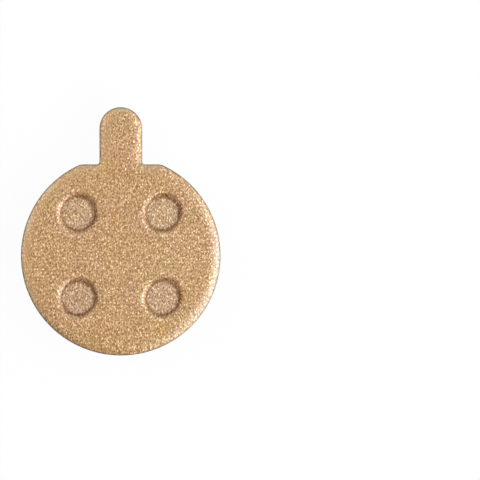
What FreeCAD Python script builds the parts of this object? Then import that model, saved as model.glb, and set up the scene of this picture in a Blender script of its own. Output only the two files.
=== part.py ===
import FreeCAD, Part
import math
import os

# Round disc brake pad with a pull tab: a stamped steel backing plate and the friction pad bonded to it.
# The pad lies on its braking face. The origin is the centre of that face, +Z points through the pad to the
# back of the plate, and +Y points along the tab. Lengths are in millimetres and angles in degrees.

# Outline of the plate
DISC_DIAMETER = 22.0
SHOULDER_DROP = 0.93  # from the top of the disc's circle down to the flats beside the tab
SHOULDER_CORNER_RADIUS = 1.5  # where a flat meets the disc
TAB_WIDTH = 4.7
TAB_LENGTH = 6.3  # from the flats to the tip, which is a half circle
TAB_ROOT_RADIUS = 0.3

# Section of the plate
PLATE_THICKNESS = 1.8
ROLL_WIDTH = 1.0  # band that the blanking punch drew down, all round the back edge
ROLL_DEPTH = 0.35  # how far the band has dropped where it meets the wall
ROLL_ENTRY_ANGLE = 4.0  # between the band and the back face where the band begins
EDGE_BREAK = 0.12  # chamfer that tumbling leaves on the front edge

# Half-pierced dimples in the back, each with a boss on the front that keys the friction pad
DIMPLE_COUNT = 4
DIMPLE_FIRST_ANGLE = 45.0  # from +X
DIMPLE_FROM_RIM = 4.42  # from the disc's rim to a dimple's centre
DIMPLE_DIAMETER = 3.36  # of the flat floor
DIMPLE_DEPTH = 0.6
DIMPLE_WALL_LEAN = 36.0  # how far the wall leans outward from upright
DIMPLE_LIP_RADIUS = 0.7
BOSS_DIAMETER = 3.6
BOSS_HEIGHT = 0.55

# Friction pad
FRICTION_THICKNESS = 2.2
FRICTION_INSET = 0.5  # width of bare plate left all round it
FRICTION_CHAMFER = 0.35  # left round the braking face by the pressing die

# Places worked out from the sizes above
DISC_RADIUS = DISC_DIAMETER / 2
SHOULDER_Y = DISC_RADIUS - SHOULDER_DROP
FRONT_Z = FRICTION_THICKNESS
BACK_Z = FRONT_Z + PLATE_THICKNESS
DIMPLE_CIRCLE_RADIUS = DISC_RADIUS - DIMPLE_FROM_RIM

# How far a cutting body stands above the back face that it cuts down from
CUT_OVERSHOOT = 1.0
# Share of a dimple's wall that the lip above it may take
LIP_SHARE = 0.95

UP = FreeCAD.Vector(0, 0, 1)
DOWN = FreeCAD.Vector(0, 0, -1)


def point(x, y, z=0.0):
    return FreeCAD.Vector(x, y, z)


def line(start, end):
    return Part.LineSegment(start, end).toShape()


def arc(centre, radius, start_angle, end_angle):
    """Arc in a level plane, anticlockwise from one angle to the other, in radians."""
    return Part.Arc(Part.Circle(centre, UP, radius), start_angle, end_angle).toShape()


def closed_outline(half, bridge=()):
    """Wire of the edges on the right side, any edge that crosses the middle, and the mirrored edges."""
    across = FreeCAD.Vector(1, 0, 0)
    other_half = [edge.mirror(point(0, 0), across) for edge in half]
    return Part.Wire(Part.__sortEdges__([*half, *bridge, *other_half]))


def disc_edges(radius, shoulder_y, corner_radius):
    """Right half of a disc with its top cut flat: from the bottom up to the flat, with a rounded corner.

    Returns the edges and the x where the corner ends on the flat.
    """
    corner_y = shoulder_y - corner_radius
    corner_x = math.sqrt((radius - corner_radius) ** 2 - corner_y**2)
    corner_angle = math.atan2(corner_y, corner_x)
    rim = arc(point(0, 0), radius, -math.pi / 2, corner_angle)
    corner = arc(point(corner_x, corner_y), corner_radius, corner_angle, math.pi / 2)
    return [rim, corner], corner_x


def tab_edges(flat_start_x):
    """Right half of the tab: along the flat, round the root, up the side and round to the tip."""
    half_width = TAB_WIDTH / 2
    root_x = half_width + TAB_ROOT_RADIUS
    root_y = SHOULDER_Y + TAB_ROOT_RADIUS
    tip_y = SHOULDER_Y + TAB_LENGTH - half_width
    flat = line(point(flat_start_x, SHOULDER_Y), point(root_x, SHOULDER_Y))
    root = arc(point(root_x, root_y), TAB_ROOT_RADIUS, math.pi, 1.5 * math.pi)
    side = line(point(half_width, root_y), point(half_width, tip_y))
    tip = arc(point(0, tip_y), half_width, 0, math.pi / 2)
    return [flat, root, side, tip]


def plate_outline():
    rim, flat_start_x = disc_edges(DISC_RADIUS, SHOULDER_Y, SHOULDER_CORNER_RADIUS)
    return closed_outline(rim + tab_edges(flat_start_x))


def friction_outline():
    """The plate's outline without its tab, a constant distance inside it."""
    radius = DISC_RADIUS - FRICTION_INSET
    shoulder_y = SHOULDER_Y - FRICTION_INSET
    half, flat_x = disc_edges(radius, shoulder_y, SHOULDER_CORNER_RADIUS - FRICTION_INSET)
    flat = line(point(flat_x, shoulder_y), point(-flat_x, shoulder_y))
    return closed_outline(half, [flat])


def level_edges(shape, z, full_circles):
    """Edges of a shape that lie in the level plane at z: its full circles, or all the others."""
    tolerance = 1e-6
    found = []
    for edge in shape.Edges:
        box = edge.BoundBox
        level = abs(box.ZMin - z) < tolerance and abs(box.ZMax - z) < tolerance
        if level and edge.isClosed() == full_circles:
            found.append(edge)
    return found


def dimple_centres(z):
    for index in range(DIMPLE_COUNT):
        angle = math.radians(DIMPLE_FIRST_ANGLE + 360.0 / DIMPLE_COUNT * index)
        x = DIMPLE_CIRCLE_RADIUS * math.cos(angle)
        y = DIMPLE_CIRCLE_RADIUS * math.sin(angle)
        yield point(x, y, z)


def dimpled(blank):
    """A blank with the dimples pressed into its back: flat floors, leaning walls and rounded lips."""
    lean = math.radians(DIMPLE_WALL_LEAN)
    floor_radius = DIMPLE_DIAMETER / 2
    height = DIMPLE_DEPTH + CUT_OVERSHOOT
    top_radius = floor_radius + height * math.tan(lean)
    floors = dimple_centres(BACK_Z - DIMPLE_DEPTH)
    plate = blank.cut([Part.makeCone(floor_radius, top_radius, height, at, UP) for at in floors])
    wall_length = DIMPLE_DEPTH / math.cos(lean)
    half_turn = (math.pi / 2 - lean) / 2
    lip_radius = min(DIMPLE_LIP_RADIUS, LIP_SHARE * wall_length / math.tan(half_turn))
    return plate.makeFillet(lip_radius, level_edges(plate, BACK_Z, full_circles=True))


def bosses():
    """Metal that the dimples pushed out of the plate's front, which the friction pad is pressed around."""
    return [Part.makeCylinder(BOSS_DIAMETER / 2, BOSS_HEIGHT, at, DOWN) for at in dimple_centres(FRONT_Z)]


def rolled_edge_cutter(outline):
    """What the blanking punch drew down at the back edge: the space over an arc, swept round the outline.

    The section stands at the bottom of the disc, where the outline starts and its outward side is -Y.
    """
    entry = math.radians(ROLL_ENTRY_ANGLE)
    chord_squared = ROLL_WIDTH**2 + ROLL_DEPTH**2
    radius = chord_squared / (2 * (ROLL_DEPTH * math.cos(entry) - ROLL_WIDTH * math.sin(entry)))
    centre_y = -DISC_RADIUS + ROLL_WIDTH + radius * math.sin(entry)
    centre_z = BACK_Z - radius * math.cos(entry)
    leave = math.asin(math.sin(entry) + ROLL_WIDTH / radius)

    def arc_point(angle):
        return point(0, centre_y - radius * math.sin(angle), centre_z + radius * math.cos(angle))

    # The arc runs a little past both of the faces that it meets, so that it cuts clean through them
    run_on = entry / 2
    start = arc_point(entry - run_on)
    end = arc_point(leave + run_on)
    roll = Part.Arc(start, arc_point((entry + leave) / 2), end).toShape()
    top_z = BACK_Z + CUT_OVERSHOOT
    over_end = point(0, end.y, top_z)
    over_start = point(0, start.y, top_z)
    section = Part.Wire([roll, line(end, over_end), line(over_end, over_start), line(over_start, start)])
    return outline.makePipeShell([section], True, False)


def backing_plate():
    """Blanked steel plate with its tab, rolled back edge, dimples in the back and bosses on the front."""
    outline = plate_outline()
    blank = Part.Face(outline).extrude(UP * PLATE_THICKNESS)
    blank.translate(UP * FRONT_Z)
    blank = blank.makeChamfer(EDGE_BREAK, level_edges(blank, FRONT_Z, full_circles=False))
    blank = blank.cut(rolled_edge_cutter(outline))
    return dimpled(blank).fuse(bosses()).removeSplitter()


def friction_pad():
    """Pressed and sintered block, chamfered round its braking face and formed around the plate's bosses."""
    block = Part.Face(friction_outline()).extrude(UP * FRICTION_THICKNESS)
    block = block.makeChamfer(FRICTION_CHAMFER, level_edges(block, 0.0, full_circles=False))
    return block.cut(bosses())


def main():
    os.makedirs("parts", exist_ok=True)
    pieces = {"backing_plate": backing_plate(), "friction_pad": friction_pad()}
    for name, piece in pieces.items():
        box = piece.optimalBoundingBox(False, False)
        print(
            f"{name}: {len(piece.Solids)} solid, valid {piece.isValid()}, {piece.Volume:.2f} mm3,"
            f" {box.XLength:.2f} x {box.YLength:.2f} x {box.ZLength:.2f} mm"
        )
        piece.exportStep(f"parts/{name}.step")


main()
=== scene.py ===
import bmesh
import bpy
import math
import numpy as np
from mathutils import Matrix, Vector, noise
from mathutils.geometry import delaunay_2d_cdt


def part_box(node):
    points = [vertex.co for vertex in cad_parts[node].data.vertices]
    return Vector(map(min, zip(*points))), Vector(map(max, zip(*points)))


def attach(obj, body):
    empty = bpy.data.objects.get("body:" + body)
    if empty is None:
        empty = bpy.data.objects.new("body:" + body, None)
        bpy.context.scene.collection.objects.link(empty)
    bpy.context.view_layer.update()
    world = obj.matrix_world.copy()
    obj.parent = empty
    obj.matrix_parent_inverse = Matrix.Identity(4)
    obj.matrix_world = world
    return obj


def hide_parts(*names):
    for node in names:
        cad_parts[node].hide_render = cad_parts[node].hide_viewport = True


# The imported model, and its box before anything is added
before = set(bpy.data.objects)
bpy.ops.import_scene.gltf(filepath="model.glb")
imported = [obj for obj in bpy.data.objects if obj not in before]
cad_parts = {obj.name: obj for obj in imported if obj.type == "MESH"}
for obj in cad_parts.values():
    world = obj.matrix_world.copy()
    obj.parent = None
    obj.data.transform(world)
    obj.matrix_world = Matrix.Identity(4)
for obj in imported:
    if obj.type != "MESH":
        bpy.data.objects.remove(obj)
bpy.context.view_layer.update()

# Shapes are worked out in millimetres and turned into metres when a mesh is made
MM = 0.001
PLATE_LOW, PLATE_HIGH = (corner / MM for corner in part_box("backing_plate"))
FRICTION_LOW, FRICTION_HIGH = (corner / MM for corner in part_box("friction_pad"))

# Heights of the braking face, of the plate's front and of its back
FACE_Z = FRICTION_LOW.z
FRONT_Z = FRICTION_HIGH.z
BACK_Z = PLATE_HIGH.z

# Outline of the plate
DISC_RADIUS = PLATE_HIGH.x
SHOULDER_DROP = 0.93
SHOULDER_Y = DISC_RADIUS - SHOULDER_DROP
SHOULDER_CORNER = 1.5
TAB_HALF_WIDTH = 2.35
TAB_TIP_Y = PLATE_HIGH.y
TAB_ROOT = 0.3

# Section of the plate's edge: a band drawn down by the punch, a burnished wall and a torn strip below it
ROLL_REACH = 1.45
ROLL_DEPTH = 0.35
ROLL_CURVE = 2.75
ROLL_POINTS = 14
FRACTURE_HEIGHT = 0.62
FRACTURE_TOP = FRONT_Z + FRACTURE_HEIGHT
FRACTURE_TAPER = 0.05
EDGE_BREAK = 0.12
EDGE_ROUNDING = 0.08

# Dimples and the bosses behind them
DIMPLE_ANGLES = (45.0, 135.0, 225.0, 315.0)
DIMPLE_FROM_RIM = 4.42
DIMPLE_CIRCLE = DISC_RADIUS - DIMPLE_FROM_RIM
DIMPLE_RADIUS = 1.68
DIMPLE_DEPTH = 0.6
DIMPLE_LEAN = math.radians(36.0)
DIMPLE_TURN = math.pi / 2 - DIMPLE_LEAN
DIMPLE_LIP_RADIUS = 0.7
DIMPLE_LIP_POINTS = 12
DIMPLE_FLOOR_CORNER = 0.16
DIMPLE_FLOOR_RUN = 2.5 * DIMPLE_FLOOR_CORNER
DIMPLE_WALL_REACH = DIMPLE_DEPTH * math.tan(DIMPLE_LEAN)
DIMPLE_LIP_REACH = DIMPLE_LIP_RADIUS * math.tan(DIMPLE_TURN / 2)
DIMPLE_MOUTH_RADIUS = DIMPLE_RADIUS + DIMPLE_WALL_REACH + DIMPLE_LIP_REACH
BOSS_RADIUS = 1.8
BOSS_HEIGHT = FRONT_Z - PLATE_LOW.z

# Friction pad
FRICTION_INSET = 0.5
FRICTION_CHAMFER = 0.35
FRICTION_ROUNDING = 0.2

# Spacing of the vertices, and how near two of them lie to be welded into one
OUTLINE_STEP = 0.10
SECTION_STEP = 0.065
GRIT_STEP = 0.095
PLAIN_STEP = 0.6
CRUMB_STEP = 0.075
WELD = 0.001

# Rounded corners of a section: the share of a line that one may take, and its points
CORNER_SHARE = 0.45
CORNER_POINTS = 5

# Flat faces: the share of a step that is kept clear of their edges, and how they are cut into triangles
CLEAR_SHARE = 0.55
INSIDE_TRIANGLES = 1
TOLERANCE = 1e-6

# Depth of the fine relief, all of it cut into the solid shapes
GRIT_DEPTH = 0.010
TORN_DEPTH = 0.042
CRUMB_DEPTH = 0.10
PIT_DEPTH = 0.10

# Share of the grit that is lost where the metal is drawn
GRIT_LOSS = 0.7

# Friction pad's relief: how level a normal is where its wall begins, and the noise where a pit begins
WALL_TURN = (0.2, 0.9)
PIT_EDGE = (0.25, 0.6)

# Unevenness, as layers of noise: (strength, size of the lumps, seed)
GRIT = ((0.6, 0.2, 1), (0.4, 0.13, 2))
TORN_METAL = ((0.3, 0.16, 5), (0.7, 0.4, 6))
TORN_LINE = ((0.14, 0.5, 3), (0.1, 1.9, 4), (0.1, 0.22, 16))
CRUMBS = ((0.5, 0.34, 11), (0.3, 0.18, 12), (0.2, 1.4, 13))
PITS = ((1.0, 0.5, 14),)
RING_WOBBLE = ((0.07, 0.9, 8), (0.05, 0.35, 9))
RING_BREAKS = ((0.45, 0.7, 10),)
LIP_BLOTCHES = ((0.9, 0.35, 15),)
LINE_BREAKS = ((0.5, 0.5, 17),)
SMEAR_EDGE = ((0.9, 1.4, 7),)

# How far each seed moves through the noise, so that no two layers are alike
SEED_STEP = (17.3, 5.1, 9.7)

# Places where the coat differs, and places of painted highlight and painted shade: (x, y, radius, strength)
PALE_NICKS = ((-7.8, 7.35, 0.45, 1.0), (-9.95, 3.95, 0.4, 1.0), (-10.25, 3.1, 0.4, 1.0))
GILT_SPOTS = (
    (-1.5, 9.7, 1.0, 1.0),
    (-0.6, 4.2, 0.8, 1.0),
    (4.7, -7.9, 0.9, 1.0),
    (6.9, -4.4, 0.8, 1.0),
    (-1.0, 8.8, 3.5, 0.4),
    (-8.6, -0.3, 3.0, 0.4),
    (-0.5, -9.4, 3.6, 0.4),
)
SHADE_SPOTS = ((-7.2, -6.2, 2.6, 0.4), (-2.4, -10.0, 2.0, 0.4))
HIGHLIGHT_SPOTS = ((7.8, -0.5, 3.5, 0.1),)
HIGHLIGHT_GAP_SPOTS = ((2.1, 10.1, 1.0, 0.6),)

# Sides of the rim: angle from +X, and how squarely an edge faces it where a look begins and is full
# The bright angle faces the key light: the painted highlights and painted glare lie on that side
BRIGHT_ANGLE = -11.0
HIGHLIGHT_SIDE = (BRIGHT_ANGLE, 0.12, 1.08)
GLARE_SIDE = (BRIGHT_ANGLE, 0.85, 1.0)
THIN_LINE_SIDE = (BRIGHT_ANGLE, 0.1, 1.05)
# Weaker painted highlight on the upper right
GLOW_SIDE = (62.0, 0.6, 0.95)
# Side where the drawn edge is smooth and carries a painted sheen
CALM_SIDE = (150.0, 0.1, 0.8)
# Painted shade on the lower left, the side facing away from the lights
SHADE_SIDE = (242.0, 0.7, 1.0)

# Bands of the rolled edge: how far inside the outline a look begins and is full, most of them painted
# highlights and painted shade
HIGHLIGHT_BAND = (ROLL_REACH, 0.4)
HIGHLIGHT_BAND_ON_TAB = (1.15, 0.4)
DRAWN_BAND = (1.3, 0.85)
DRAWN_BAND_ON_TAB = (1.45, 1.2)
GLARE_BAND = (0.75, 0.3)
GLOW_BAND = (1.1, 0.3)
SHEEN_BAND = (0.8, 0.3)
SHADE_BAND = (0.75, 0.15)
NICK_BAND = (0.6, 0.4)

# The tab's edge: the length over which the disc's rim passes into it, and how its painted highlight differs
TAB_BLEND = 1.0
TAB_DIMMING = 0.36
TAB_HIGHLIGHT = 0.05

# Strength of the rim's lesser painted highlights
GLOW_STRENGTH = 0.40
SHEEN_STRENGTH = 0.36

# Pale ends: how far inside the tab's tip, and inside the flats beside the tab, the pale coat begins and is
# full
TIP_PALE_BAND = (0.58, 0.46)
SHOULDER_PALE_BAND = (0.4, 0.2)
SHOULDER_PALENESS = 0.7

# Dark line where the coat ends, partly painted shade, and what it loses on the bright and the smooth sides
# of the rim
LINE_DROP = 0.32
LINE_WIDTH = 0.05
LINE_GLARE_WIDTH = 0.035
LINE_STRENGTH = 0.8
LINE_BRIGHT_LOSS = 0.35
LINE_CALM_LOSS = 0.1

# Drop from the back face where bare wall begins and is full
STEEL_EDGE = (0.33, 0.38)

# Torn strip of the wall: how its noise is drawn out down the wall, and how sharply the strip begins
TORN_LAY = (1.0, 1.0, 0.2)
FRACTURE_EDGE = (-0.05, 0.08)

# The plate's front: golden coat, and smeared compound that fades out at the root of the tab
FRONT_GILT = 0.8
SMEAR_END_Y = 11.2
SMEAR_FADE = (1.0, -0.6)

# Painted shade ring on each dimple's wall: longer one way, off centre, and further out and wider on its
# heavy side
RING_RADIUS = 1.885
RING_STRETCH = 0.13
RING_BULGE = 0.1
RING_OFFSET = (0.04, 0.05)
RING_WIDTH = 0.25
RING_HEAVY_WIDTH = 0.06
RING_INNER_SHARE = 1.12
RING_OUTER_SHARE = 0.75
RING_LONG_ANGLE = math.radians(65.0)
RING_HEAVY_ANGLE = math.radians(45.0)
RING_DARK_ANGLE = math.radians(105.0)

# Strength of the painted shade ring, and what it gains on its dark and long sides and loses at the bottom
RING_WHOLE = 0.83
RING_STRENGTH = 1.02
RING_DARK_GAIN = 0.09
RING_LONG_GAIN = 0.12
RING_BOTTOM_LOSS = 0.06

# Pale floor inside the ring, which reaches further on one side and is palest near its edge
PALE_FLOOR_EXTRA = 0.27
PALE_FLOOR_SIDE = (-0.3, 0.7)
PALE_FLOOR_EDGE = 0.1
PALE_FLOOR_STRENGTH = 0.65
PALE_FLOOR_EDGE_GAIN = 0.25
PALE_FLOOR_EDGE_RADII = (0.4, 1.4)

# Painted highlight on the lip outside the ring, which shines on one side and is wider low down
LIP_GAP = 0.07
LIP_LOW_GAP = 0.22
LIP_RAMP = 0.2
LIP_FULL_RADIUS = 2.25
LIP_END_RADIUS = 2.48
LIP_LOW_EXTRA = 0.2
LIP_BOTTOM_EXTRA = 0.25
LIP_FAINT_ANGLE = math.radians(200.0)
LIP_BRIGHT_ANGLE = math.radians(153.0)
LIP_BRIGHT_SIDE = (0.5, 1.0)
LIP_STRENGTH = 0.17
LIP_FAINT_GAIN = 0.3
LIP_BOTTOM_GAIN = 0.2
LIP_BRIGHT_GAIN = 0.45

# Parts of a dimple, as the sine of the way round it where each begins and is full
HIGH_PART = (0.2, 0.9)
LOW_PART = (0.5, -0.2)
BOTTOM_PART = (-0.3, -0.9)

# Coat: the size of its cells, flakes, pits and patches, how far the flakes tilt, and the depth of its bump
CELL_SIZE = 0.125
FLAKE_SIZE = 0.325
COAT_PIT_SIZE = 0.295
PATCH_SIZE = 3.0
FLAKE_TILT = 0.5
COAT_BUMP = 0.03

# Flakes and pits: how unevenly they lie, and where in its cell one begins and is full
SPECK_SCATTER = 0.85
SPECK_EDGE = (0.42, 0.16)

# Squeeze of the grain across the pad, stretch along it, and starting places that keep its layers apart
GRAIN_LAY = (1.2, 0.8, 1.0)
FLAKE_START = (0.5, 0.3, 0.0)
COAT_PIT_START = (0.2, 0.7, 0.0)

# Tone of the coat: its middle, the grain's shift, what each layer of the grain adds, and contrast by mask
MIDDLE_TONE = 0.5
GRAIN_SHIFT = -0.090
CELL_TONE = 0.21
FLAKE_TONE = 0.136
COAT_PIT_TONE = -0.178
GRAIN_CONTRAST = {"drawn_and_sheen": -0.4, "lip": -0.1, "painted_highlight": -0.4, "ring": 0.1}

# Bare wall: fine marks drawn out by the punch, and the grain of the torn strip
DRAG_SIZE = 0.12
DRAG_LAY = (1.0, 1.0, 0.06)
TORN_SIZE = 0.14

# Strength of the colours of pale coat and of torn metal, and the heights of the grain and of the marks
PALE_STRENGTH = 0.95
TORN_STRENGTH = 0.7
GRAIN_HEIGHT = 0.5
DRAG_HEIGHT = 0.3

# Shine of the coat: its metal and its roughness, with what is added to each in places, and its reflection
COAT_METAL = 0.2
FLAKE_METAL = 0.3
COAT_ROUGHNESS = 0.34
CELL_ROUGHNESS = 0.14
DRAWN_ROUGHNESS = -0.06
TORN_ROUGHNESS = 0.2
COAT_SPECULAR = 0.1

# Friction compound: its soft grain, its broken grains, the tones of those that glint, and its bump
COMPOUND_SIZE = 0.28
COMPOUND_DETAIL = 3.0
CRUMB_SIZE = 0.15
CRUMB_SHARE = 0.6
GLINT_EDGE = (0.70, 0.92)
COMPOUND_BUMP = 0.06
COMPOUND_HEIGHT = 0.6
CRUMB_HEIGHT = 0.4

# Strength of the painted shade in a pit, and the compound's metal and roughness with what a glint adds to
# each
PIT_STRENGTH = 0.7
COMPOUND_METAL = 0.2
GLINT_METAL = 0.7
COMPOUND_ROUGHNESS = 0.62
GLINT_ROUGHNESS = -0.28

# Colours as they show on screen, 0 to 255, each at its place along a tone from 0 to 1
COAT_TONES = (
    (0.10, (109, 77, 50)),
    (0.35, (158, 122, 85)),
    (0.50, (183, 148, 108)),
    (0.70, (215, 183, 146)),
    (0.95, (254, 238, 208)),
)
PATCH_TONES = ((0.35, (255, 254, 246)), (0.65, (255, 249, 252)))
STEEL_TONES = ((0.30, (126, 120, 112)), (0.70, (164, 158, 149)))
TORN_TONES = ((0.35, (92, 85, 76)), (0.65, (136, 128, 117)))
SMEAR_TONES = ((0.2, (74, 54, 42)), (0.6, (122, 92, 72)), (0.95, (196, 168, 146)))
FACE_TONES = ((0.30, (138, 94, 70)), (0.50, (152, 106, 81)), (0.70, (166, 119, 93)))
BROKEN_TONES = (
    (0.22, (66, 48, 38)),
    (0.45, (118, 91, 73)),
    (0.68, (152, 124, 102)),
    (0.84, (214, 192, 171)),
)

# Single colours, 0 to 255 too
PALE_COAT = (197, 178, 145)
LINE_COLOUR = (90, 75, 58)
# Painted shade in the friction pad's pits
PIT_COLOUR = (52, 38, 31)

# What the coat's colour is multiplied by where each mask is full, and the tint of its shine
COAT_TINTS = {
    "gilt": (1.02, 0.99, 0.82),
    # Painted shade on the lower-left rim and in two spots low on the back
    "painted_shade": (0.85, 0.81, 0.75),
    # Paler drawn edge: a painted sheen on its calm side
    "drawn_and_sheen": (1.05, 1.05, 1.07),
    # Painted highlights on the rim, and painted glare at its lit edge
    "painted_highlight": (1.30, 1.53, 1.98),
    "glare": (1.00, 1.05, 1.28),
    # Painted highlight on the dimples' lips
    "lip": (1.30, 1.48, 1.96),
    "floor": (0.99, 1.10, 1.32),
    # Painted shade on the dimples' walls, warmer on their upper part
    "ring": (0.65, 0.58, 0.62),
    "warm": (1.01, 0.98, 0.86),
}
COAT_SHINE = (0.85, 0.66, 0.45)

# Floor: half its width in metres, its drop below the pad, where its middle lies under the pad, its colour
FLOOR_HALF_WIDTH = 6.0
FLOOR_DROP = 0.01
FLOOR_MIDDLE_Y = -0.5
FLOOR_COLOUR = (0.85, 0.85, 0.85)

# Distances from the floor's middle: the shadow under the pad, and the way out to a fully white page
SHADOW_EDGE = (10.7, 9.5)
PAGE_EDGE = (12.0, 45.0)

# Share of the page's white near the pad, and what the shadow takes from it
PAGE_SHARE = 0.96
SHADOW_SHARE = 0.6

# Strength of the surroundings as a light. As a page their strength is 1.
AMBIENT = 0.2

# Photograph: its frame, its scale, and where the middle of the disc lies in it
PHOTO_PIXELS = 480
PHOTO_DISC_X = 120.6
PHOTO_DISC_Y = 255.75
PHOTO_DISC_RADIUS = 100.0

# Long lens, so that the camera looks almost straight down everywhere
LENS = 200.0

# Places of the colour sockets on a Mix node, which has others of the same names
MIX_FACTOR = 0
MIX_FIRST = 6
MIX_SECOND = 7
MIX_RESULT = 2


def smooth(low, high, values):
    """0 at low, 1 at high and beyond, and an even S-curve between."""
    t = np.clip((np.asarray(values, float) - low) / (high - low), 0.0, 1.0)
    return t * t * (3.0 - 2.0 * t)


def hump(values, middle, width):
    """1 at the middle, falling away on both sides."""
    return np.exp(-(((values - middle) / width) ** 2))


class Outline:
    """The plate's outline, or the friction pad's, as loops that lie any distance inside it.

    All loops of one outline have the same number of points, so that a strip of quads joins any two.
    """

    def __init__(self, step, has_tab):
        self.step = step
        self.has_tab = has_tab
        self.corner_y = SHOULDER_Y - SHOULDER_CORNER
        self.corner_x = math.sqrt((DISC_RADIUS - SHOULDER_CORNER) ** 2 - self.corner_y**2)
        self.corner_angle = math.atan2(self.corner_y, self.corner_x)

    def arc(self, centre, radius, start, end, count_radius):
        """An arc whose point count comes from a set radius, so that it is the same at any inset."""
        count = max(3, round(abs(end - start) * count_radius / self.step))
        angles = np.linspace(start, end, count, endpoint=False)
        return np.array(centre) + radius * np.column_stack([np.cos(angles), np.sin(angles)])

    def line(self, start, end):
        count = max(2, round(math.dist(start, end) / self.step))
        return np.linspace(start, end, count, endpoint=False)

    def half(self, inset):
        """Points of the right half, from the bottom of the disc up to the middle of the top."""
        quarter = math.pi / 2
        corner = (self.corner_x, self.corner_y)
        flat_y = SHOULDER_Y - inset
        parts = [
            self.arc((0, 0), DISC_RADIUS - inset, -quarter, self.corner_angle, DISC_RADIUS),
            self.arc(corner, SHOULDER_CORNER - inset, self.corner_angle, quarter, SHOULDER_CORNER),
        ]
        if not self.has_tab:
            top = (0.0, flat_y)
            return np.vstack([*parts, self.line((self.corner_x, flat_y), top), [top]])
        root = (TAB_HALF_WIDTH + TAB_ROOT, SHOULDER_Y + TAB_ROOT)
        tip = (0.0, TAB_TIP_Y - TAB_HALF_WIDTH)
        side_x = TAB_HALF_WIDTH - inset
        parts += [
            self.line((self.corner_x, flat_y), (root[0], flat_y)),
            self.arc(root, TAB_ROOT + inset, 3 * quarter, 2 * quarter, TAB_ROOT + ROLL_REACH / 2),
            self.line((side_x, root[1]), (side_x, tip[1])),
            self.arc(tip, side_x, 0.0, quarter, TAB_HALF_WIDTH),
            np.array([(0.0, TAB_TIP_Y - inset)]),
        ]
        return np.vstack(parts)

    def loop(self, inset, z):
        """Closed loop of points at one height, anticlockwise from the bottom of the disc."""
        right = self.half(inset)
        left = right[-2:0:-1] * (-1.0, 1.0)
        plan = np.vstack([right, left])
        return np.column_stack([plan, np.full(len(plan), z)])


def circle(centre, radius, z, count):
    angles = np.linspace(0.0, 2 * math.pi, count, endpoint=False)
    x = centre[0] + radius * np.cos(angles)
    y = centre[1] + radius * np.sin(angles)
    return np.column_stack([x, y, np.full(count, z)])


def dimple_centres():
    angles = np.radians(DIMPLE_ANGLES)
    return np.column_stack([np.cos(angles), np.sin(angles)]) * DIMPLE_CIRCLE


def rounded(corners, radius):
    """A run of straight lines with each inner corner replaced by a short curve."""
    corners = [np.array(corner, float) for corner in corners]
    out = [corners[0]]
    for before, corner, after in zip(corners, corners[1:], corners[2:]):
        starts = []
        for end in (before, after):
            reach = min(radius, CORNER_SHARE * np.linalg.norm(end - corner))
            starts.append(corner + (end - corner) * reach / np.linalg.norm(end - corner))
        for t in np.linspace(0.0, 1.0, CORNER_POINTS):
            out.append((1 - t) ** 2 * starts[0] + 2 * t * (1 - t) * corner + t**2 * starts[1])
    out.append(corners[-1])
    return np.array(out)


def evenly(points, step):
    """The same run of lines with points at an even spacing along it."""
    points = np.asarray(points, float)
    along = np.concatenate([[0.0], np.cumsum(np.linalg.norm(np.diff(points, axis=0), axis=1))])
    count = max(2, math.ceil(along[-1] / step) + 1)
    places = np.linspace(0.0, along[-1], count)
    return np.column_stack([np.interp(places, along, values) for values in points.T])


def inside(points, loop):
    """Which points of the plane lie inside a closed loop."""
    x, y = points[:, 0], points[:, 1]
    result = np.zeros(len(points), bool)
    for (x0, y0), (x1, y1) in zip(loop, np.roll(loop, -1, axis=0)):
        if y0 == y1:
            continue
        crosses = (y0 > y) != (y1 > y)
        result ^= crosses & (x < (x1 - x0) * (y - y0) / (y1 - y0) + x0)
    return result


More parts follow.
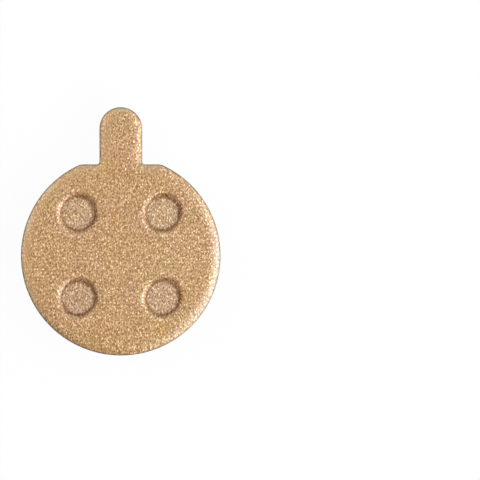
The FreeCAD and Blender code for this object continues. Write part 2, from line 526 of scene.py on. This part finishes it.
class Skin:
    """One closed surface, gathered piece by piece. Its points are in millimetres."""

    def __init__(self):
        self.points = []
        self.faces = []
        self.count = 0

    def add_points(self, points):
        first = self.count
        self.points.append(np.asarray(points, float))
        self.count += len(points)
        return first

    def strip(self, loops):
        """Quads from each closed loop to the next."""
        size = len(loops[0])
        first = self.add_points(np.vstack(loops))
        for row in range(len(loops) - 1):
            low = first + row * size
            for column in range(size):
                after = (column + 1) % size
                self.faces.append((low + column, low + after, low + size + after, low + size + column))

    def region(self, outer, holes, step):
        """Flat face inside one loop and outside the holes, filled with even triangles."""
        z = outer[0][2]
        loops = [outer[:, :2]] + [hole[:, :2] for hole in holes]
        low, high = loops[0].min(0), loops[0].max(0)
        rows = np.arange(low[1], high[1], step * math.sqrt(0.75))
        grid = []
        for index, y in enumerate(rows):
            xs = np.arange(low[0] + 0.5 * step * (index % 2), high[0], step)
            grid.append(np.column_stack([xs, np.full(len(xs), y)]))
        grid = np.vstack(grid)
        clear = CLEAR_SHARE * step
        keep = np.ones(len(grid), bool)
        for nudge in ((clear, 0), (-clear, 0), (0, clear), (0, -clear)):
            keep &= inside(grid + nudge, loops[0])
            for hole in loops[1:]:
                keep &= ~inside(grid + nudge, hole)
        edges = []
        start = 0
        for loop in loops:
            size = len(loop)
            edges += [(start + i, start + (i + 1) % size) for i in range(size)]
            start += size
        flat = [Vector(point) for point in np.vstack([*loops, grid[keep]])]
        made, _, triangles, *_ = delaunay_2d_cdt(flat, edges, [], INSIDE_TRIANGLES, TOLERANCE)
        made = np.array([tuple(point) for point in made])
        middles = np.array([made[list(triangle)].mean(0) for triangle in triangles])
        wanted = inside(middles, loops[0])
        for hole in loops[1:]:
            wanted &= ~inside(middles, hole)
        first = self.add_points(np.column_stack([made, np.full(len(made), z)]))
        for triangle, keep_it in zip(triangles, wanted):
            if keep_it:
                self.faces.append(tuple(first + corner for corner in triangle))

    def mesh(self, name):
        """Welds the pieces into one mesh with its faces turned outward, still in millimetres."""
        mesh = bpy.data.meshes.new(name)
        mesh.from_pydata(np.vstack(self.points).tolist(), [], self.faces)
        shape = bmesh.new()
        shape.from_mesh(mesh)
        bmesh.ops.remove_doubles(shape, verts=shape.verts, dist=WELD)
        bmesh.ops.recalc_face_normals(shape, faces=shape.faces)
        shape.to_mesh(mesh)
        shape.free()
        return mesh


def read_points(mesh):
    points = np.empty(len(mesh.vertices) * 3)
    mesh.vertices.foreach_get("co", points)
    return points.reshape(-1, 3)


def read_normals(mesh):
    normals = np.empty(len(mesh.vertices) * 3)
    mesh.vertex_normals.foreach_get("vector", normals)
    return normals.reshape(-1, 3)


def uneven(points, layers):
    """Smooth noise about 0, added up from layers of (strength, size of the lumps, seed)."""
    total = np.zeros(len(points))
    for strength, size, seed in layers:
        shift = Vector([seed * step for step in SEED_STEP])
        total += strength * np.array([noise.noise(Vector(point) / size + shift) for point in points])
    return total


def finish_piece(mesh, name, points, masks, node, material):
    """Writes the points in metres and the masks, and puts the piece in place of its solid."""
    mesh.vertices.foreach_set("co", (points * MM).astype(np.float32).ravel())
    for mask, values in masks.items():
        attribute = mesh.attributes.new(mask, "FLOAT", "POINT")
        attribute.data.foreach_set("value", np.asarray(values, np.float32))
    mesh.shade_smooth()
    mesh.materials.append(material)
    mesh.update()
    piece = bpy.data.objects.new(name, mesh)
    bpy.context.scene.collection.objects.link(piece)
    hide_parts(node)
    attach(piece, "root")


def plate_edge_section():
    """Inset and height, from the flat back over the rolled edge and down to the front."""
    inset = np.linspace(ROLL_REACH, 0.0, ROLL_POINTS)
    height = BACK_Z - ROLL_DEPTH * (1 - inset / ROLL_REACH) ** ROLL_CURVE
    wall = [
        (0.0, FRACTURE_TOP),
        (FRACTURE_TAPER, FRONT_Z + EDGE_BREAK),
        (FRACTURE_TAPER + EDGE_BREAK, FRONT_Z),
    ]
    return evenly(rounded([*zip(inset, height), *wall], EDGE_ROUNDING), SECTION_STEP)


def dimple_section():
    """Radius and height, from the back face over the lip and down the wall to the floor."""
    angles = np.linspace(0.0, DIMPLE_TURN, DIMPLE_LIP_POINTS)
    radii = DIMPLE_MOUTH_RADIUS - DIMPLE_LIP_RADIUS * np.sin(angles)
    heights = BACK_Z - DIMPLE_LIP_RADIUS * (1 - np.cos(angles))
    floor_z = BACK_Z - DIMPLE_DEPTH
    floor = [(DIMPLE_RADIUS, floor_z), (DIMPLE_RADIUS - DIMPLE_FLOOR_RUN, floor_z)]
    return evenly(rounded([*zip(radii, heights), *floor], DIMPLE_FLOOR_CORNER), SECTION_STEP)


def on_side(normals, side):
    """How far each point belongs to a side of the rim, going by its normal as seen from above."""
    angle, begins, full = side
    length = np.maximum(np.linalg.norm(normals[:, :2], axis=1), TOLERANCE)
    level = normals[:, :2] / length[:, None]
    way = (math.cos(math.radians(angle)), math.sin(math.radians(angle)))
    return smooth(begins, full, level @ way)


def in_band(inset, on_rim, on_tab, tab_share):
    """How far each point belongs to a band of the rolled edge, which has other ends on the tab."""
    begins, full = (rim + (tab - rim) * tab_share for rim, tab in zip(on_rim, on_tab))
    return smooth(begins, full, inset)


def spots(x, y, places):
    """The strongest of some soft round spots at each point, each given as (x, y, radius, strength)."""
    result = np.zeros(len(x))
    for spot_x, spot_y, radius, strength in places:
        result = np.maximum(result, strength * hump(np.hypot(x - spot_x, y - spot_y), 0.0, radius))
    return result


def dimple_masks(points, across, along):
    """Painted shade ring on a dimple's wall, pale floor and lip with a painted highlight.

    Each point comes with its way across and along the pad from the middle of the nearest dimple.
    """
    radius = np.hypot(across, along)
    around = np.arctan2(along, across)
    long_way = np.cos(2 * (around - RING_LONG_ANGLE))
    heavy = np.cos(around - RING_HEAVY_ANGLE)
    dark = np.cos(around - RING_DARK_ANGLE)
    faint = np.cos(around - LIP_FAINT_ANGLE)
    shining = smooth(*LIP_BRIGHT_SIDE, np.cos(around - LIP_BRIGHT_ANGLE))
    high = smooth(*HIGH_PART, np.sin(around))
    low = smooth(*LOW_PART, np.sin(around))
    bottom = smooth(*BOTTOM_PART, np.sin(around))

    # The painted shade ring wavers, is broken in places, and has its crisper edge outside
    ring_radius = RING_RADIUS + RING_STRETCH * long_way + RING_BULGE * np.maximum(heavy, 0.0)
    ring_radius += RING_OFFSET[0] * np.cos(around) + RING_OFFSET[1] * np.sin(around)
    past_ring = radius + uneven(points, RING_WOBBLE) - ring_radius
    width = RING_WIDTH + RING_HEAVY_WIDTH * heavy
    width *= np.where(past_ring > 0.0, RING_OUTER_SHARE, RING_INNER_SHARE)
    strength = RING_STRENGTH + RING_DARK_GAIN * dark + RING_LONG_GAIN * long_way - RING_BOTTOM_LOSS * bottom
    ring = (RING_WHOLE + uneven(points, RING_BREAKS)) * strength * hump(past_ring, 0.0, width)

    floor_radius = DIMPLE_RADIUS + PALE_FLOOR_EXTRA * smooth(*PALE_FLOOR_SIDE, faint)
    floor = smooth(PALE_FLOOR_EDGE, -PALE_FLOOR_EDGE, radius - floor_radius)
    floor *= PALE_FLOOR_STRENGTH + PALE_FLOOR_EDGE_GAIN * smooth(*PALE_FLOOR_EDGE_RADII, radius)

    # Painted highlight on the lip, strongest on one side
    lip_start = ring_radius + LIP_GAP + LIP_LOW_GAP * low
    lip_end = LIP_END_RADIUS + LIP_LOW_EXTRA * low + LIP_BOTTOM_EXTRA * bottom
    lip = smooth(0.0, LIP_RAMP, radius - lip_start) * smooth(lip_end, LIP_FULL_RADIUS, radius)
    lit = LIP_STRENGTH + LIP_FAINT_GAIN * faint + LIP_BOTTOM_GAIN * bottom + LIP_BRIGHT_GAIN * shining
    return {
        "ring": ring,
        "warm": ring * high,
        "floor": floor,
        "lip": lip * lit * (1 + uneven(points, LIP_BLOTCHES)),
    }


def rim_masks(points, normals, inset):
    """Smooth stretches of the rolled edge, with its painted highlights and painted shade, from the distance
    inside the outline.
    """
    x, y, _ = points.T
    on_tab = smooth(SHOULDER_Y, SHOULDER_Y + TAB_BLEND, y)
    calm = on_side(normals, CALM_SIDE)
    # Painted highlight where the rim faces the key light, dimmer on the tab
    bright = on_side(normals, HIGHLIGHT_SIDE) * in_band(inset, HIGHLIGHT_BAND, HIGHLIGHT_BAND_ON_TAB, on_tab)
    bright *= (1 - TAB_DIMMING * on_tab) * (1 - spots(x, y, HIGHLIGHT_GAP_SPOTS))
    glow = GLOW_STRENGTH * on_side(normals, GLOW_SIDE) * smooth(*GLOW_BAND, inset)
    sheen = SHEEN_STRENGTH * calm * smooth(*SHEEN_BAND, inset)
    # Painted shade on the rim that faces the lower left
    painted_shade = on_side(normals, SHADE_SIDE) * smooth(*SHADE_BAND, inset)
    line = LINE_STRENGTH - LINE_BRIGHT_LOSS * on_side(normals, THIN_LINE_SIDE) - LINE_CALM_LOSS * calm
    return {
        "drawn_and_sheen": calm * in_band(inset, DRAWN_BAND, DRAWN_BAND_ON_TAB, on_tab),
        "painted_highlight": np.max([bright, glow, sheen, TAB_HIGHLIGHT * on_tab, spots(x, y, HIGHLIGHT_SPOTS)], axis=0),
        "glare": on_side(normals, GLARE_SIDE) * (1 - on_tab) * smooth(*GLARE_BAND, inset),
        "painted_shade": np.maximum(painted_shade, spots(x, y, SHADE_SPOTS)),
        "line": line * (1 + uneven(points, LINE_BREAKS)),
    }


def plate_masks(points, normals):
    """How much of each kind of surface there is at every point of the plate."""
    x, y, z = points.T
    back = z > FRONT_Z + EDGE_BREAK
    offsets = points[:, None, :2] - dimple_centres()
    nearest = np.argmin(np.hypot(*offsets.T), axis=0)
    across, along = offsets[np.arange(len(points)), nearest].T
    in_dimple = back & (np.hypot(across, along) < DIMPLE_MOUTH_RADIUS)
    edge_drop = np.where(in_dimple, 0.0, BACK_Z - z)
    inset = ROLL_REACH * (1 - np.clip(edge_drop / ROLL_DEPTH, 0.0, 1.0) ** (1 / ROLL_CURVE))

    # The coat on the back and on the rolled edge
    masks = {**dimple_masks(points, across, along), **rim_masks(points, normals, inset)}
    masks["line"] *= hump(edge_drop, LINE_DROP, LINE_WIDTH + LINE_GLARE_WIDTH * masks["glare"])
    tip = smooth(*TIP_PALE_BAND, TAB_TIP_Y - y)
    beside_tab = np.abs(x) > TAB_HALF_WIDTH
    shoulder = SHOULDER_PALENESS * smooth(*SHOULDER_PALE_BAND, SHOULDER_Y - y) * beside_tab
    nicks = smooth(*NICK_BAND, inset) * spots(x, y, PALE_NICKS)
    masks["pale"] = np.max([tip, shoulder, nicks], axis=0)
    masks = {name: back * values for name, values in masks.items()}

    # The bare wall and the front
    steel = smooth(*STEEL_EDGE, edge_drop) * smooth(FRONT_Z, FRONT_Z + EDGE_BREAK, z)
    torn_top = FRACTURE_TOP + uneven(points * TORN_LAY, TORN_LINE)
    smear_end = SMEAR_END_Y + uneven(points, SMEAR_EDGE)
    return {
        **masks,
        "steel": steel,
        "fracture": steel * smooth(*FRACTURE_EDGE, torn_top - z),
        "gilt": np.where(back, spots(x, y, GILT_SPOTS), FRONT_GILT),
        "smear": np.where(back, 0.0, smooth(*SMEAR_FADE, y - smear_end)),
    }


def add_dimples(skin):
    """The dimples in the plate's back. Returns the loops round their mouths."""
    count = round(2 * math.pi * DIMPLE_RADIUS / OUTLINE_STEP)
    mouths = []
    for centre in dimple_centres():
        rings = [circle(centre, radius, z, count) for radius, z in dimple_section()]
        skin.strip(rings)
        skin.region(rings[-1], [], GRIT_STEP)
        mouths.append(rings[0])
    return mouths


def add_bosses(skin):
    """The plate's bosses, or the friction pad's sockets round them. Returns the loops at their feet."""
    count = round(2 * math.pi * BOSS_RADIUS / PLAIN_STEP)
    feet = [circle(centre, BOSS_RADIUS, FRONT_Z, count) for centre in dimple_centres()]
    for foot in feet:
        end = foot - (0, 0, BOSS_HEIGHT)
        skin.strip([foot, end])
        skin.region(end, [], PLAIN_STEP)
    return feet


def make_plate(material):
    """Backing plate: gritty coated back, rolled edge, blanked wall, dimples, and bosses on the front."""
    skin = Skin()
    outline = Outline(OUTLINE_STEP, has_tab=True)
    edge = [outline.loop(inset, z) for inset, z in plate_edge_section()]
    skin.strip(edge)
    skin.region(edge[0], add_dimples(skin), GRIT_STEP)
    skin.region(edge[-1], add_bosses(skin), PLAIN_STEP)
    mesh = skin.mesh("backing_plate_coated")

    # Grit in the coat, less of it where the metal is drawn, and torn metal low on the wall
    points = read_points(mesh)
    normals = read_normals(mesh)
    masks = plate_masks(points, normals)
    grit = uneven(points, GRIT) - 1.0
    torn = uneven(points, TORN_METAL) - 1.0
    depth = GRIT_DEPTH * (1 - GRIT_LOSS * masks["drawn_and_sheen"]) * grit + TORN_DEPTH * masks["fracture"] * torn
    depth[points[:, 2] < FRONT_Z + EDGE_BREAK / 2] = 0.0
    points = points + normals * depth[:, None]
    finish_piece(mesh, "backing_plate_coated", points, masks, "backing_plate", material)


def make_friction(material):
    """Friction pad: sintered block with crumbly walls and edge, and sockets round the bosses."""
    skin = Skin()
    outline = Outline(CRUMB_STEP, has_tab=False)
    corners = [
        (FRICTION_INSET, FRONT_Z),
        (FRICTION_INSET, FACE_Z + FRICTION_CHAMFER),
        (FRICTION_INSET + FRICTION_CHAMFER, FACE_Z),
        (FRICTION_INSET + 2 * FRICTION_CHAMFER, FACE_Z),
    ]
    section = evenly(rounded(corners, FRICTION_ROUNDING), CRUMB_STEP)
    wall = [outline.loop(inset, z) for inset, z in section]
    skin.strip(wall)
    skin.region(wall[0], add_bosses(skin), PLAIN_STEP)
    skin.region(wall[-1], [], PLAIN_STEP)
    mesh = skin.mesh("friction_block")

    # Crumbs and pits, which stop where the wall meets the plate
    points = read_points(mesh)
    normals = read_normals(mesh)
    on_wall = smooth(*WALL_TURN, np.hypot(normals[:, 0], normals[:, 1]))
    on_wall[points[:, 2] > FRONT_Z - WELD] = 0.0
    crumbs = uneven(points, CRUMBS) - 1.0
    pits = on_wall * smooth(*PIT_EDGE, uneven(points, PITS))
    depth = CRUMB_DEPTH * on_wall * crumbs - PIT_DEPTH * pits
    points = points + normals * depth[:, None]
    masks = {"wall": on_wall, "pit": pits}
    finish_piece(mesh, "friction_block", points, masks, "friction_pad", material)


def linear(red, green, blue):
    """A colour given as 0 to 255 on screen, as the shader's own values."""
    values = np.array([red, green, blue]) / 255.0
    return tuple(np.where(values <= 0.04045, values / 12.92, ((values + 0.055) / 1.055) ** 2.4).tolist())


class Nodes:
    """Short ways to add the nodes of one shader."""

    def __init__(self, tree):
        self.tree = tree
        self.place = None

    def new(self, kind, **settings):
        node = self.tree.nodes.new("ShaderNode" + kind)
        for name, value in settings.items():
            setattr(node, name, value)
        return node

    def link(self, source, socket):
        """Joins a socket to another node's output, or sets it to a number or a colour."""
        if isinstance(source, (int, float)):
            socket.default_value = source
        elif isinstance(source, tuple):
            socket.default_value = (*source, 1.0) if socket.type == "RGBA" else source
        else:
            self.tree.links.new(source, socket)

    def object_place(self):
        if self.place is None:
            self.place = self.new("TexCoord").outputs["Object"]
        return self.place

    def math(self, kind, *values):
        node = self.new("Math", operation=kind)
        for value, socket in zip(values, node.inputs):
            self.link(value, socket)
        return node.outputs[0]

    def times(self, first, second):
        return self.math("MULTIPLY", first, second)

    def total(self, start, *terms):
        """A starting value plus each term's weight times its value."""
        result = start
        for weight, value in terms:
            result = self.math("MULTIPLY_ADD", value, weight, result)
        return result

    def vector(self, kind, *values):
        node = self.new("VectorMath", operation=kind)
        for value, socket in zip(values, node.inputs):
            self.link(value, socket)
        return node

    def mask(self, name):
        return self.new("Attribute", attribute_name=name).outputs["Fac"]

    def stretched_place(self, stretch, start=(0.0, 0.0, 0.0)):
        if stretch is None:
            return self.object_place()
        return self.vector("MULTIPLY_ADD", self.object_place(), stretch, start).outputs[0]

    def noise(self, size, detail=2.0, stretch=None):
        """Noise from 0 to 1 whose lumps are about one size across, in millimetres."""
        node = self.new("TexNoise")
        self.link(self.stretched_place(stretch), node.inputs["Vector"])
        self.link(1.0 / (size * MM), node.inputs["Scale"])
        self.link(detail, node.inputs["Detail"])
        return node.outputs["Fac"]

    def cells(self, size, scatter=1.0, lay=None, start=(0.0, 0.0, 0.0)):
        """Cells of about one size in millimetres: distance from a cell's middle, and its random colour.

        With less scatter their middles are more evenly spaced. With a lay, which stretches them, they are
        spread over the plan from a starting place and run straight down through the piece.
        """
        node = self.new("TexVoronoi", voronoi_dimensions="3D" if lay is None else "2D")
        self.link(self.stretched_place(lay, start), node.inputs["Vector"])
        self.link(1.0 / (size * MM), node.inputs["Scale"])
        self.link(scatter, node.inputs["Randomness"])
        return node.outputs["Distance"], node.outputs["Color"]

    def specks(self, size, start):
        """1 in the middle of each cell of a layer of the coat's grain, fading to 0 round it."""
        distance, _ = self.cells(size, SPECK_SCATTER, GRAIN_LAY, start)
        return self.fade(distance, *SPECK_EDGE)

    def red(self, colour):
        node = self.new("SeparateColor")
        self.link(colour, node.inputs["Color"])
        return node.outputs["Red"]

    def fade(self, value, start, end):
        """0 where the value is at start, 1 where it is at end, and smooth between."""
        node = self.new("MapRange", interpolation_type="SMOOTHSTEP")
        self.link(value, node.inputs["Value"])
        low, high = sorted((start, end))
        self.link(low, node.inputs["From Min"])
        self.link(high, node.inputs["From Max"])
        self.link(float(start > end), node.inputs["To Min"])
        self.link(float(start < end), node.inputs["To Max"])
        return node.outputs["Result"]

    def ramp(self, value, stops):
        """Colours along a value."""
        node = self.new("ValToRGB")
        elements = node.color_ramp.elements
        while len(elements) < len(stops):
            elements.new(0.5)
        for element, (position, colour) in zip(elements, stops):
            element.position = position
            element.color = (*linear(*colour), 1.0)
        self.link(value, node.inputs["Fac"])
        return node.outputs["Color"]

    def mix(self, factor, first, second, kind="MIX"):
        node = self.new("Mix", data_type="RGBA", blend_type=kind)
        self.link(factor, node.inputs[MIX_FACTOR])
        self.link(first, node.inputs[MIX_FIRST])
        self.link(second, node.inputs[MIX_SECOND])
        return node.outputs[MIX_RESULT]

    def flakes(self, colour, tilt):
        """The surface's normal, leaning a different way in each cell."""
        surface = self.new("NewGeometry").outputs["Normal"]
        lean = self.vector("SUBTRACT", colour, (0.5, 0.5, 0.5)).outputs[0]
        scaled = self.vector("SCALE", lean)
        self.link(tilt, scaled.inputs["Scale"])
        leaning = self.vector("ADD", surface, scaled.outputs[0]).outputs[0]
        return self.vector("NORMALIZE", leaning).outputs[0]

    def bump(self, height, distance, under=None):
        node = self.new("Bump")
        self.link(distance * MM, node.inputs["Distance"])
        self.link(height, node.inputs["Height"])
        if under is not None:
            self.link(under, node.inputs["Normal"])
        return node.outputs["Normal"]

    def seen(self):
        """1 for rays that show the page: straight from the camera, off a shine, or through glass."""
        path = self.new("LightPath").outputs
        indirect = self.math("MAXIMUM", path["Is Glossy Ray"], path["Is Transmission Ray"])
        return self.math("MAXIMUM", path["Is Camera Ray"], indirect)


def new_material(name):
    material = bpy.data.materials.new(name)
    material.use_nodes = True
    return material, Nodes(material.node_tree)


def set_surface(nodes, **sockets):
    """Fills in the material's main shader. An underscore stands for a space in a socket's name."""
    shader = nodes.tree.nodes["Principled BSDF"]
    for name, source in sockets.items():
        nodes.link(source, shader.inputs[name.replace("_", " ")])


def coat_material():
    """Copper-gold flake coat, paler where the press drew the metal as a painted sheen, with painted
    highlights and shade, over a bare steel wall.
    """
    material, n = new_material("coated_steel")
    grainy = n.total(1.0, *((change, n.mask(name)) for name, change in GRAIN_CONTRAST.items()))

    # Grain: a random tone in each fine cell, with brighter flakes and darker pits scattered over the cells
    _, cell = n.cells(CELL_SIZE, lay=GRAIN_LAY)
    cell_tone = n.red(cell)
    flake = n.specks(FLAKE_SIZE, FLAKE_START)
    pit = n.specks(COAT_PIT_SIZE, COAT_PIT_START)
    grain = n.total(GRAIN_SHIFT, (CELL_TONE, cell_tone), (FLAKE_TONE, flake), (COAT_PIT_TONE, pit))
    colour = n.ramp(n.total(MIDDLE_TONE, (grainy, grain)), COAT_TONES)

    # Tints of the coat, in large soft patches and by mask, most masks being painted highlights and painted
    # shade
    colour = n.mix(1.0, colour, n.ramp(n.noise(PATCH_SIZE), PATCH_TONES), "MULTIPLY")
    for name, tint in COAT_TINTS.items():
        colour = n.mix(n.mask(name), colour, tint, "MULTIPLY")
    colour = n.mix(n.times(n.mask("pale"), PALE_STRENGTH), colour, linear(*PALE_COAT))

    # Bare steel on the wall, the dark line where the coat ends, partly painted shade, and compound smeared
    # on the front
    steel = n.mask("steel")
    fracture = n.mask("fracture")
    drag = n.noise(DRAG_SIZE, stretch=DRAG_LAY)
    torn = n.ramp(n.noise(TORN_SIZE), TORN_TONES)
    bare = n.mix(n.times(fracture, TORN_STRENGTH), n.ramp(drag, STEEL_TONES), torn)
    colour = n.mix(steel, colour, bare)
    colour = n.mix(n.mask("line"), colour, linear(*LINE_COLOUR))
    colour = n.mix(n.mask("smear"), colour, n.ramp(cell_tone, SMEAR_TONES))

    flakes = n.flakes(cell, n.times(grainy, FLAKE_TILT))
    relief = n.total(0.0, (GRAIN_HEIGHT, grain), (n.times(steel, DRAG_HEIGHT), drag))
    rough = n.total(COAT_ROUGHNESS, (CELL_ROUGHNESS, cell_tone), (DRAWN_ROUGHNESS, n.mask("drawn_and_sheen")))
    set_surface(
        n,
        Base_Color=colour,
        Metallic=n.total(COAT_METAL, (FLAKE_METAL, flake)),
        Roughness=n.total(rough, (TORN_ROUGHNESS, fracture)),
        Normal=n.bump(relief, COAT_BUMP, flakes),
        Specular_IOR_Level=COAT_SPECULAR,
        Specular_Tint=COAT_SHINE,
    )
    return material


def friction_material():
    """Sintered compound: even copper brown, with dark and metallic grains broken open on the walls, and
    painted shade in their pits.
    """
    material, n = new_material("friction_compound")
    wall = n.mask("wall")
    grain = n.noise(COMPOUND_SIZE, COMPOUND_DETAIL)
    _, cell = n.cells(CRUMB_SIZE)
    crumb = n.red(cell)
    broken = n.ramp(n.total(0.0, (CRUMB_SHARE, crumb), (1.0 - CRUMB_SHARE, grain)), BROKEN_TONES)
    colour = n.mix(wall, n.ramp(grain, FACE_TONES), broken)
    # Painted shade in the pits
    colour = n.mix(n.times(n.mask("pit"), PIT_STRENGTH), colour, linear(*PIT_COLOUR))
    glint = n.times(wall, n.fade(crumb, *GLINT_EDGE))
    relief = n.total(0.0, (COMPOUND_HEIGHT, grain), (n.times(wall, CRUMB_HEIGHT), crumb))
    set_surface(
        n,
        Base_Color=colour,
        Metallic=n.total(COMPOUND_METAL, (GLINT_METAL, glint)),
        Roughness=n.total(COMPOUND_ROUGHNESS, (GLINT_ROUGHNESS, glint)),
        Normal=n.bump(relief, COMPOUND_BUMP),
    )
    return material


def floor_material():
    """Pale card that shows as a white page to the camera and in reflections, and keeps the pad's shadow."""
    material, n = new_material("floor")
    material.cycles.emission_sampling = "NONE"
    n.tree.nodes.remove(n.tree.nodes["Principled BSDF"])
    card = n.new("BsdfDiffuse")
    n.link(FLOOR_COLOUR, card.inputs["Color"])
    page = n.new("Emission")
    reach = n.vector("LENGTH", n.object_place()).outputs["Value"]
    away = n.fade(reach, *(distance * MM for distance in PAGE_EDGE))
    under = n.fade(reach, *(distance * MM for distance in SHADOW_EDGE))
    both = n.new("MixShader")
    white = n.total(PAGE_SHARE, (1.0 - PAGE_SHARE, away), (-SHADOW_SHARE, under))
    n.link(n.times(n.seen(), white), both.inputs["Fac"])
    n.link(card.outputs[0], both.inputs[1])
    n.link(page.outputs[0], both.inputs[2])
    n.link(both.outputs[0], n.tree.nodes["Material Output"].inputs["Surface"])
    return material


def make_floor():
    """Level floor just below the braking face, with its middle where the shadow's middle is."""
    half = FLOOR_HALF_WIDTH
    corners = [(-half, -half, 0), (half, -half, 0), (half, half, 0), (-half, half, 0)]
    mesh = bpy.data.meshes.new("floor")
    mesh.from_pydata(corners, [], [(0, 1, 2, 3)])
    mesh.materials.append(floor_material())
    floor = bpy.data.objects.new("floor", mesh)
    floor.location = Vector((0.0, FLOOR_MIDDLE_Y, FACE_Z - FLOOR_DROP)) * MM
    bpy.context.scene.collection.objects.link(floor)


def softbox(name, azimuth, elevation, distance, width, height, watts):
    """Area light that looks at the pad from a direction: azimuth from +X, elevation from the floor."""
    light = bpy.data.lights.new(name, "AREA")
    light.shape = "RECTANGLE"
    light.size = width
    light.size_y = height
    light.energy = watts
    lamp = bpy.data.objects.new(name, light)
    a, e = math.radians(azimuth), math.radians(elevation)
    direction = Vector((math.cos(e) * math.cos(a), math.cos(e) * math.sin(a), math.sin(e)))
    lamp.location = direction * distance
    lamp.rotation_mode = "QUATERNION"
    lamp.rotation_quaternion = direction.to_track_quat("Z", "Y")
    bpy.context.scene.collection.objects.link(lamp)


def make_light():
    """White surroundings, dimmer as a light than as a page, with a key light and a fill opposite it."""
    world = bpy.data.worlds.new("studio")
    world.use_nodes = True
    world.cycles.sampling_method = "NONE"
    n = Nodes(world.node_tree)
    surroundings = n.tree.nodes["Background"]
    n.link((1.0, 1.0, 1.0), surroundings.inputs["Color"])
    n.link(n.total(AMBIENT, (1.0 - AMBIENT, n.seen())), surroundings.inputs["Strength"])
    bpy.context.scene.world = world
    softbox("key", azimuth=-12, elevation=42, distance=0.35, width=0.5, height=0.18, watts=1.6)
    softbox("fill", azimuth=152, elevation=42, distance=0.6, width=0.5, height=0.5, watts=1.2)


def make_camera():
    """Straight down on the pad, with the disc where the photograph has it."""
    pixel = DISC_RADIUS / PHOTO_DISC_RADIUS
    data = bpy.data.cameras.new("camera")
    data.lens = LENS
    distance = PHOTO_PIXELS * pixel * data.lens / data.sensor_width
    camera = bpy.data.objects.new("camera", data)
    middle = PHOTO_PIXELS / 2
    right = (middle - PHOTO_DISC_X) * pixel
    up = (PHOTO_DISC_Y - middle) * pixel
    camera.location = Vector((right, up, BACK_Z + distance)) * MM
    bpy.context.scene.collection.objects.link(camera)
    bpy.context.scene.camera = camera


make_plate(coat_material())
make_friction(friction_material())
make_floor()
make_light()
make_camera()
bpy.context.scene.view_settings.view_transform = "Standard"
